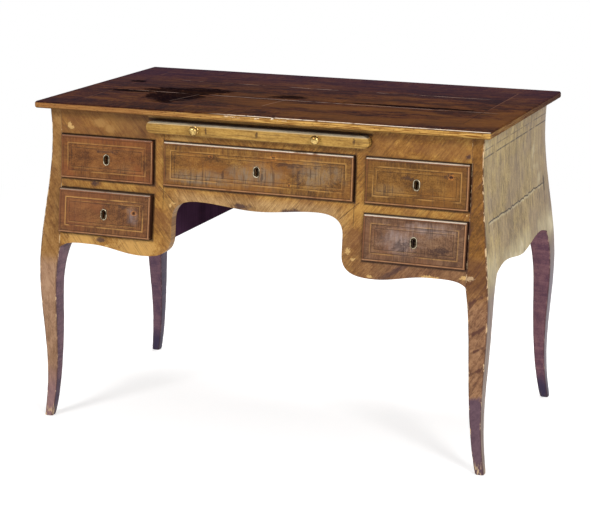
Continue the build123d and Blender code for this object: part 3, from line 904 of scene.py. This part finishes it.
drawerLook = {
    "inset": 0.019,
    "innerInset": 0.0275,
    # the rounded lip: where it ends, and the places and half widths of the lines along it: a
    # painted shadow where the rounding meets the flat, painted highlights below and beside, the
    # upper arris
    "lipEnd": (0.0064, 0.0052),
    "lipShadow": (0.0062, 0.0005),
    "lipBead": (0.0034, 0.0006),
    "lipArris": (0.0014, 0.0008),
    "line": (44, 26, 18),
    "outline": (30, 17, 13),
    "lip": (112, 66, 38),
    "lipLine": (196, 150, 106),
    "inlay": (216, 164, 90),
    "crackle": (48, 34, 34),
    # the lip's upper edge: pale from wear and from a painted highlight
    "worn": (232, 216, 194),
    "burn": (44, 22, 16),
    "burnRim": (190, 120, 52),
    # wood from dark to light, a warmer or cooler tone that drifts through it, how strongly the
    # inlay shows, hazy places (a painted sheen on the right lower drawer), burns and scuffs from
    # the middle of the drawer, how strongly the lip's upper edge shows bright, from wear and a
    # painted highlight
    "middle": {
        "wood": [(68, 43, 18), (116, 77, 33), (152, 110, 50)],
        "drift": (140, 88, 36),
        "inlayShow": 0.3,
        "hazeAndSheen": [
            (-0.14, -0.024, 0.12, 0.024),
            (-0.14, -0.036, 0.13, 0.008),
            (0.022, -0.01, 0.075, 0.038),
            (-0.02, -0.01, 0.08, 0.04),
            (0.15, 0.004, 0.085, 0.042),
        ],
        "hazeColour": (124, 108, 88),
        "hazeAndSheenShow": 0.9,
        "burns": [
            (-0.117, 0.026, 0.004, 0.003),
            (0.042, 0.034, 0.0075, 0.004),
            (0.083, -0.026, 0.0035, 0.0035),
        ],
        "scuffs": [
            (0.086, 0.02, 0.052, 0.007),
            (0.105, -0.008, 0.006, 0.026),
            (0.014, -0.012, 0.004, 0.022),
            (-0.085, -0.016, 0.004, 0.014),
        ],
        "lipWearAndHighlight": 0.9,
    },
    "left_upper": {
        "wood": [(74, 41, 18), (112, 69, 32), (138, 91, 46)],
        "drift": (134, 72, 37),
        "inlayShow": 0.22,
        "hazeAndSheen": [(0.05, -0.02, 0.05, 0.02)],
        "hazeColour": (134, 106, 76),
        "hazeAndSheenShow": 0.15,
        "burns": [],
        "scuffs": [(0.0, 0.018, 0.04, 0.004)],
        "lipWearAndHighlight": 0.1,
    },
    "left_lower": {
        "wood": [(68, 40, 22), (107, 68, 37), (136, 92, 51)],
        "drift": (126, 74, 42),
        "inlayShow": 0.38,
        "hazeAndSheen": [(0.078, 0.0, 0.02, 0.03)],
        "hazeColour": (124, 116, 118),
        "hazeAndSheenShow": 0.7,
        "burns": [(0.08, 0.008, 0.006, 0.005)],
        "scuffs": [(0.05, 0.02, 0.02, 0.006)],
        "lipWearAndHighlight": 0.3,
    },
    "right_upper": {
        "wood": [(72, 44, 17), (111, 74, 30), (141, 99, 44)],
        "drift": (126, 80, 32),
        "inlayShow": 0.3,
        "hazeAndSheen": [(-0.07, -0.02, 0.05, 0.022)],
        "hazeColour": (134, 112, 80),
        "hazeAndSheenShow": 0.5,
        "burns": [(0.08, 0.022, 0.006, 0.005)],
        "scuffs": [(0.078, 0.024, 0.014, 0.01), (-0.02, 0.012, 0.02, 0.006)],
        "lipWearAndHighlight": 0.75,
    },
    "right_lower": {
        "wood": [(62, 40, 28), (101, 71, 50), (131, 99, 73)],
        "drift": (120, 78, 50),
        "inlayShow": 0.22,
        # a painted sheen, pinkish, over the middle and the upper right
        "hazeAndSheen": [(-0.03, 0.0, 0.07, 0.045), (0.03, 0.03, 0.09, 0.02)],
        "hazeColour": (160, 140, 132),
        "hazeAndSheenShow": 0.75,
        "burns": [],
        "scuffs": [(-0.026, -0.01, 0.03, 0.018), (0.06, -0.014, 0.03, 0.012)],
        "lipWearAndHighlight": 0.85,
    },
}


def drawerFinish(name, seed):
    f = Finish("drawerVeneer" + titled(name))
    look = {**drawerLook, **drawerLook[name]}
    low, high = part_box(f"drawer_{name}_front")
    x, _, z = f.position()
    u, v = x - (low.x + high.x) / 2, z - (low.z + high.z) / 2
    halfU, halfV = (high.x - low.x) / 2, (high.z - low.z) / 2
    inset, innerInset = look["inset"], look["innerInset"]
    banded = crossBanding(u, v, halfU, halfV, inset, 0.0002)
    fromSides, fromEnds, border, onSides, banding = banded
    # burr veneer in the middle: cloudy, bent by a slow noise, with pores
    bend = f.noise(x * 16, z * 20, seed + 9, 2.0)
    cloudy = f.noise(x * 15 + bend, z * 24 + bend, seed, 3.0)
    burr = f.noise(x * 60 + bend * 4, z * 80 + bend * 4, seed + 3, 4.0, 0.7)
    pore = f.noise(x * 320, z * 300, seed + 5, 2.0, 0.6)
    field = (cloudy * 0.36 + burr * 0.36 + pore * 0.28).ease(0.34, 0.64)
    endTone = woodTone(f, z, x, seed + 6, 170, 34, 0.14)
    sideTone = woodTone(f, x, z, seed + 12, 170, 34, 0.14)
    tone = f.choose(banding, field, f.choose(onSides, endTone, sideTone))
    drift = f.noise(x * 7, z * 10, seed + 11, 3.0).ease(0.42, 0.6)
    # hazy places of the polish, a painted sheen on the right lower drawer, with a fine crackle over
    # them
    cloud = f.noise(x * 26, z * 36, seed + 2, 4.0, 0.65)
    hazeAndSheen = f.blots(u, v, look["hazeAndSheen"], (cloud - 0.5) * 1.6, 1.0)
    streaks = f.noise(x * 95, z * 26, seed + 5, 4.0, 0.7)
    hazeAndSheenCover = hazeAndSheen * (streaks.ease(0.38, 0.62) * 0.55 + 0.4)
    upright = hairLines(f, z, x, seed + 4, 110, 0.016)
    hairs = upright.most(hairLines(f, x, z, seed + 5, 90, 0.012) * 0.6)
    scuffs = f.blots(u, v, look["scuffs"], (burr - 0.5) * 4.0, 0.8)
    layers = [
        (drift * 0.5, "drift"),
        (banding * 0.1, look["wood"][0]),
        (hazeAndSheenCover * look["hazeAndSheenShow"], "hazeColour"),
        (hairs * (hazeAndSheen * 0.35 + 0.25), "crackle"),
        (scuffs * 0.6, "crackle"),
    ]
    if look["burns"]:
        fray = (f.noise(x * 260, z * 260, seed, 3.0) - 0.5) * 2.0
        rims = [(*burn[:2], burn[2] * 1.5, burn[3] * 1.5) for burn in look["burns"]]
        layers += [
            (f.blots(u, v, rims, fray, 0.5) * 0.7, "burnRim"),
            (f.blots(u, v, look["burns"], fray, 0.5) * 0.95, "burn"),
        ]
    # line inlay with a fainter line inside it, both broken here and there
    broken = f.noise(x * 15, z * 15, seed + 1, 4.0, 0.6)
    inlay = border.near(inset, 0.001) * broken.ease(0.4, 0.56)
    inner = border.near(innerInset, 0.0007) * broken.ease(0.58, 0.44)
    lines = border.near(inset + 0.0026, 0.0006).most(border.near(innerInset + 0.002, 0.0005))
    mitre = (fromEnds - fromSides).near(0.0, 0.0006) * banding
    # a rounded reddish lip all round, with painted shade on the sides and outer edge of the proud
    # front, painted highlights along its lower and right edges, and along its upper edge a bright
    # line that is part wear, part painted highlight
    patchy = f.noise(x * 24, z * 10, seed + 7, 3.0).ease(0.3, 0.46)
    below = (v + halfV).near(*look["lipBead"])
    beside = (halfU - u).near(*look["lipBead"]) * (fromEnds - 0.004).ease(0.0, 0.002)
    upper = (halfV - v).near(*look["lipArris"]) * fromSides.ease(0.001, 0.003) * patchy
    layers += [
        (lines.most(mitre * 0.6) * 0.5, "line"),
        (inlay.most(inner * 0.5) * look["inlayShow"], "inlay"),
        (border.ease(*look["lipEnd"]) * 0.5, "lip"),
        (border.near(*look["lipShadow"]) * 0.55, "outline"),
        (below.most(beside) * patchy * 0.5, "lipLine"),
        (border.ease(0.0012, 0.0003) * 0.85, "outline"),
        (upper * look["lipWearAndHighlight"] * 0.85, "worn"),
    ]
    grain = fibres(f, z, x, seed)
    height = grain * 0.3 + tone * 0.3 - lines * 0.7 - hairs * 0.5
    colour = f.lay(f.ramp(tone, look["wood"]), look, layers)
    return f.surface(colour, grain * 0.2 + 0.36, height, coat=upper * 0.25 + 0.05)


# Plain boards inside

insideLook = {
    "plain": [(88, 62, 42), (142, 110, 76)],
    # the kneehole's boards: painted shade, far darker and purpler than the boards elsewhere
    "knee": [(35, 21, 33), (70, 45, 65)],
}


def boardFinish(name, tones, grainAxis, specular=0.15):
    f = Finish(name)
    axes = f.position()
    along = axes.pop(grainAxis)
    across, depth = axes
    tone = woodTone(f, along, across, depth * 3, 90, 16)
    rings = f.noise(along * 2, across * 30, depth * 30, 3.0)
    colour = f.mix((tone * 0.6 + rings * 0.5).least(1.0), *insideLook[tones])
    grain = fibres(f, along, across, depth)
    return f.surface(colour, grain * 0.2 + 0.6, grain * 0.4 + tone * 0.2, specular=specular)


# Writing slide

slideLook = {
    "wood": [(136, 99, 42), (192, 152, 78)],
    "fill": (70, 46, 28),
    "lining": [(94, 97, 92), (128, 130, 120)],
    # the edge of the lining along the strip, the strip's arris, worn and with a painted highlight,
    # and its upper face, painted darker for the shade under the top
    "edge": [(108, 98, 82), (146, 134, 112)],
    "edgeWidth": 0.0032,
    "arris": (192, 170, 132),
    "upperFace": (108, 99, 94),
    # filled holes: their places in x, and their half sizes
    "fills": [-0.125, 0.004, 0.243],
    "fillSize": (0.004, 0.01),
}


def stripFinish():
    f, look = Finish("slideStripVeneer"), slideLook
    low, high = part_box("slide_strip")
    x, y, z = f.position()
    tone = woodTone(f, x, z, y + 4, 260, 26, 0.13)
    ragged = (f.noise(x * 240, z * 240, 1.0, 3.0) - 0.5) * 2.2
    fills = [(place, (low.z + high.z) / 2, *look["fillSize"]) for place in look["fills"]]
    marks = f.blots(x, z, fills, ragged, 0.6)
    edge = high.z - look["edgeWidth"]
    above = z.ease(edge - 0.0008, edge)
    layers = [
        (hairLines(f, x, z, 6.0, 160) * 0.45, "fill"),
        (marks * 0.8, "fill"),
        (above, f.mix(tone, *look["edge"])),
        (above * y.ease(low.y + 0.001, low.y + 0.004) * 0.85, "upperFace"),
        (z.near(edge - 0.0012, 0.0008) * 0.6, "arris"),
        (z.ease(low.z + 0.003, low.z) * 0.7, "fill"),
    ]
    colour = f.lay(f.mix(tone, *look["wood"]), look, layers)
    grain = fibres(f, x, z, y)
    return f.surface(colour, grain * 0.2 + 0.36, grain * 0.3 - marks * 0.4, 0.0003, coat=0.08)


def liningFinish():
    f = Finish("slideLining")
    x, y, z = f.position()
    pebble = f.noise(x * 420, y * 420, z * 420, 3.0, 0.6)
    worn = f.noise(x * 9, y * 9, 1.0, 4.0, 0.6)
    colour = f.mix(worn.ease(0.2, 0.8), *slideLook["lining"])
    return f.surface(colour, pebble * 0.2 + 0.5, pebble, 0.0003, specular=0.3)


# Brass and iron: bright and dull tone, roughness

metalLook = {
    "keyholePlate": [(62, 50, 36), (26, 20, 16), 0.45],
    "lockIron": [(62, 58, 56), (40, 34, 32), 0.5],
    "knobBrass": [(214, 182, 114), (122, 92, 48), 0.16],
    "keyholeRimMetal": [(196, 184, 158), (112, 98, 76), 0.3],
}


def metalFinish(name):
    f = Finish(name)
    bright, dull, rough = metalLook[name]
    x, y, z = f.position()
    cloud = f.noise(x * 120, y * 120, z * 120, 4.0, 0.6)
    colour = f.mix(cloud.ease(0.38, 0.62), bright, dull)
    return f.surface(colour, cloud * 0.25 + rough, cloud, 0.0002, metallic=1.0, specular=0.5)


# places as shares of the length, radii as shares of the full one
knobLook = {
    "rings": 48,
    "sides": 56,
    "rosetteEnd": 0.12,
    "rosetteRadius": 0.86,
    "waistRadius": 0.36,
    "ballFrom": 0.24,
    "ballMiddle": 0.62,
    "grooveDepth": 0.0004,
}


def makeKnobs(material):
    look = knobLook
    low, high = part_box("slide_knobs")
    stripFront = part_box("slide_strip")[0].y
    length = stripFront - low.y
    radius = (high.z - low.z) / 2
    centreZ = (high.z + low.z) / 2
    # radius along the axis: a thin rosette, a waist, then a ball that closes in a small button
    share = np.linspace(0, 1, look["rings"])
    rosetteEnd, ballMiddle = look["rosetteEnd"], look["ballMiddle"]
    rosette = look["rosetteRadius"] * np.clip(1 - (share / rosetteEnd) ** 6, 0, 1) ** 0.5
    waist = look["waistRadius"] + 0.1 * np.clip((share - rosetteEnd) / 0.25, 0, 1)
    ballShare = np.clip((share - ballMiddle) / (1 - ballMiddle), -1, 1)
    ball = np.sqrt(np.clip(1 - ballShare**2, 0, 1)) * (share > look["ballFrom"])
    profile = np.maximum(np.maximum(rosette, waist * (share < 0.9)), ball) * radius
    profile -= look["grooveDepth"] * np.exp(-(((share - ballMiddle) / 0.025) ** 2))
    profile[-1] = 0.0
    turn = np.linspace(0, 2 * math.pi, look["sides"], endpoint=False)
    for side, centreX in (("Left", low.x + radius), ("Right", high.x - radius)):
        x = centreX + profile[:, None] * np.cos(turn)[None]
        z = centreZ + profile[:, None] * np.sin(turn)[None]
        y = np.repeat((stripFront - share * length)[:, None], len(turn), axis=1)
        points = np.stack([x, y, z], axis=-1)
        faces = gridFaces(len(share), len(turn), True).tolist()
        faces.append(list(range(len(turn)))[::-1])
        knob = addPiece("slideKnob" + side, points, faces, material, "writing_slide")
        mergeDoubles(knob)
        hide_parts("slide_knobs")


rimLook = {"inset": 0.0012, "thickness": 0.0009, "steps": 72, "sides": 10}


def makeKeyholeRim(name, material):
    look = rimLook
    node = f"drawer_{name}_escutcheon"
    low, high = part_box(node)
    # the middle line of the rim: two half circles joined by straight sides
    halfWidth = (high.x - low.x) / 2 - look["inset"]
    straight = (high.z - low.z) / 2 - look["inset"] - halfWidth
    turn = np.linspace(0, 2 * math.pi, look["steps"], endpoint=False)
    outX, outZ = np.cos(turn)[:, None], np.sin(turn)[:, None]
    x = (low.x + high.x) / 2 + halfWidth * outX
    z = (low.z + high.z) / 2 + halfWidth * outZ + straight * np.sign(outZ + 1e-9)
    heights = np.linspace(low.z + 1e-4, high.z - 1e-4, 24)
    y = np.interp(z, heights, extents(node, heights)[2])
    # a small round bead carried along that line, half sunk in the plate
    bead = np.linspace(0, 2 * math.pi, look["sides"], endpoint=False)[None]
    swell, lift = look["thickness"] * np.cos(bead), look["thickness"] * 0.5 * np.sin(bead)
    points = np.stack([x + outX * swell, y - lift, z + outZ * swell], axis=-1)
    ring = np.concatenate([points, points[:1]])
    faces = gridFaces(len(ring), look["sides"], True).tolist()
    rim = addPiece("keyholeRim" + titled(name), ring, faces, material, f"drawer_{name}")
    mergeDoubles(rim)


top = makeTop()
print("top made:", len(top.data.polygons), "faces")
for end in ("front", "rear"):
    for side in sides:
        makeLeg(end, side)
print("legs made")


def bothSides(*kinds):
    return [f"{kind}_{side}" for kind in kinds for side in sides]


def eachDrawer(*kinds):
    return [f"drawer_{name}_{kind}" for kind in kinds for name in drawers]


paint(frontFinish(), "top_rail", "centre_apron", *bothSides("stile", "middle_rail", "apron"))
paint(fadedFinish("sideVeneer", True), *bothSides("side_panel"))
paint(fadedFinish("backVeneer", False), "back_panel")
for seed, name in enumerate(drawers):
    paint(drawerFinish(name, 17.0 * seed + 1), f"drawer_{name}_front")
alongY = boardFinish("insideAlongY", "plain", 1)
alongX = boardFinish("insideAlongX", "plain", 0)
# the kneehole's boards are painted in shade
knee = boardFinish("kneeholeShade", "knee", 1, specular=0.0)
paint(knee, "centre_board", *bothSides("kneehole_side"))
paint(alongX, "slide_bed", "slide_board", *eachDrawer("back"))
paint(alongY, "drawer_guides", "slide_bearers", *bothSides("dustboard", "pedestal_bottom"))
paint(alongY, *eachDrawer("sides", "bottom"))
paint(stripFinish(), "slide_strip")
paint(liningFinish(), "slide_lining")
paint(metalFinish("keyholePlate"), *eachDrawer("escutcheon"))
paint(metalFinish("lockIron"), *eachDrawer("lock"))
makeKnobs(metalFinish("knobBrass"))
rimMetal = metalFinish("keyholeRimMetal")
for name in drawers:
    makeKeyholeRim(name, rimMetal)
print("finishes and fittings done")

# Floor, light and camera

stageLook = {
    "floorHalf": 30.0,
    "floorShade": 0.8,
    "floorGlow": 0.48,
    "floorFades": (1.3, 3.0),
    "worldLight": 0.336,
    # name, place, aimed at, size, power
    "lamps": [
        ("keyLamp", (-1.65, -4.08, 3.0), (0, 0, 0.45), 1.5, 105),
        ("sideLamp", (3.2, -2.9, 2.6), (0.2, 0, 0.45), 1.3, 90),
        ("overLamp", (0.2, 0.9, 3.6), (0, 0, 0.6), 2.4, 85),
    ],
}

cameraLook = {
    "place": (1.5854, -4.109, 1.4752),
    "yaw": 21.333,
    "pitch": 13.761,
    "roll": 0.311,
    "focalPixels": 1803.53,
    "imageWidth": 591,
    "sensor": 36.0,
}


def makeFloor():
    half = stageLook["floorHalf"]
    corners = [(-half, -half, 0), (half, -half, 0), (half, half, 0), (-half, half, 0)]
    mesh = bpy.data.meshes.new("studioFloor")
    mesh.from_pydata(corners, [], [(0, 1, 2, 3)])
    f = Finish("studioFloorWhite")
    # far from the desk the floor is plain white; near it, it keeps the shadows
    x, y, _ = f.position()
    away = (x * x + y * y) ** 0.5
    white, shade = (1.0, 1.0, 1.0, 1.0), (*[stageLook["floorShade"]] * 3, 1.0)
    matt = f.node("ShaderNodeBsdfDiffuse", None, {"Color": white})
    shaded = f.node("ShaderNodeBsdfDiffuse", None, {"Color": shade})
    glow = {"Color": white, "Strength": stageLook["floorGlow"]}
    lit = f.node("ShaderNodeEmission", None, glow)
    nearby = f.node("ShaderNodeAddShader", None, {0: shaded, 1: lit})
    bright = f.node("ShaderNodeEmission", None, {"Color": white, "Strength": 1.0})
    fades = away.ease(*stageLook["floorFades"])
    shown = f.node("ShaderNodeMixShader", None, {0: fades, 1: nearby, 2: bright})
    blend = f.node("ShaderNodeMixShader", None, {0: f.seenRays(), 1: matt, 2: shown})
    f.node("ShaderNodeOutputMaterial", None, {"Surface": blend})
    mesh.materials.append(f.owner)
    floor = newObject("studioFloor", mesh)


def makeWorld():
    # white where it is seen, and a plain level of light on everything
    f = Finish("studioWorld", "worlds")
    bpy.context.scene.world = f.owner
    light = {"Value": f.seenRays(), "To Min": stageLook["worldLight"], "To Max": 1.0}
    level = f.node("ShaderNodeMapRange", None, light)
    sockets = {"Color": (1.0, 1.0, 1.0, 1.0), "Strength": level}
    background = f.node("ShaderNodeBackground", None, sockets)
    f.node("ShaderNodeOutputWorld", None, {"Surface": background})


def makeLamp(name, place, aim, size, power):
    lamp = bpy.data.lights.new(name, "AREA")
    lamp.shape = "DISK"
    lamp.size = size
    lamp.energy = power
    holder = newObject(name, lamp)
    holder.location = place
    holder.rotation_euler = (Vector(aim) - Vector(place)).to_track_quat("-Z", "Y").to_euler()


def makeCamera():
    # turned by its yaw, then tipped down from level by its pitch, then rolled about its own axis
    look = cameraLook
    yaw, pitch, roll = (math.radians(look[name]) for name in ("yaw", "pitch", "roll"))
    turns = [(yaw, "Z"), (math.pi / 2 - pitch, "X"), (roll, "Z")]
    camera = newObject("camera", bpy.data.cameras.new("camera"))
    camera.matrix_world = Matrix.Translation(Vector(look["place"]))
    for angle, axis in turns:
        camera.matrix_world = camera.matrix_world @ Matrix.Rotation(angle, 4, axis)
    camera.data.sensor_width = look["sensor"]
    camera.data.lens = look["focalPixels"] * look["sensor"] / look["imageWidth"]
    camera.data.clip_end = 200.0
    bpy.context.scene.camera = camera


makeFloor()
makeWorld()
for lampSettings in stageLook["lamps"]:
    makeLamp(*lampSettings)
makeCamera()
bpy.context.scene.view_settings.view_transform = "Standard"
print("stage, lamps and camera set")
